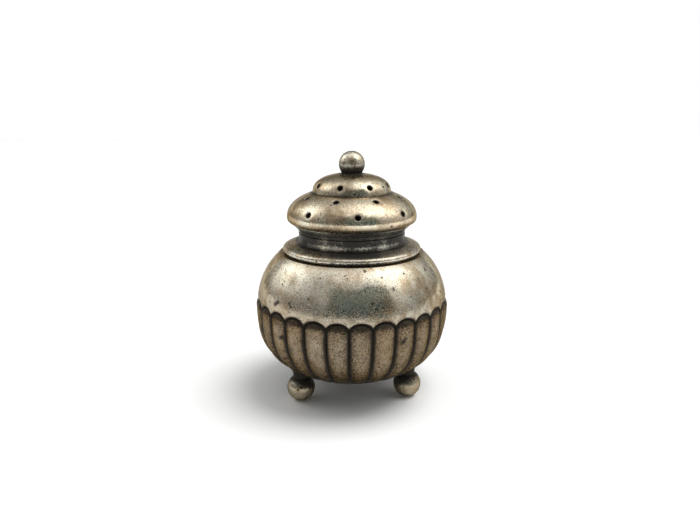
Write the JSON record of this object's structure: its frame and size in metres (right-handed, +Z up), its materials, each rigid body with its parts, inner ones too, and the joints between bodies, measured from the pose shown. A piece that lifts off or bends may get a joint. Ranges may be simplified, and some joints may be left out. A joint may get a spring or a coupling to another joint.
{
  "type": "salt shaker",
  "caption": "Round metal salt shaker: fluted bowl on ball feet, plain shoulder, flanged collar, and a pierced stepped dome lid with a ball finial that pulls off upwards.",
  "frame": {"origin": "on the surface the shaker stands on, at the centre of the circle of feet, under the axis of the body", "axes": "+Z up along the axis of the body and lid, -Y towards the viewer's side between the two front feet, +X to the right"},
  "size_m": [0.0444, 0.0444, 0.0559],
  "materials": {
    "silver_body": "old polished silver, warm with wear, tarnished brown to black in the flute grooves",
    "silver_collar": "old silver, polished on the edge of the flange and dark with tarnish in the neck",
    "silver_lid": "old polished silver with fine scratches and tarnish round the holes and the step",
    "silver_feet": "old polished silver, tarnished dark where the ball meets the bowl"
  },
  "bodies": {
    "shaker": {"fluted_bowl": "silver_body", "shoulder": "silver_body", "neck_collar": "silver_collar", "foot_left": "silver_feet", "foot_right": "silver_feet", "foot_back": "silver_feet"},
    "lid": {"lid_skirt": "silver_collar", "lid_sleeve": "silver_lid", "lid_dome": "silver_lid", "finial_ball": "silver_lid"}
  },
  "joints": [
    {"name": "lid_lift", "type": "slide", "parent": "shaker", "child": "lid", "axis": [0, 0, 1], "range_m": [0, 0.03]}
  ]
}
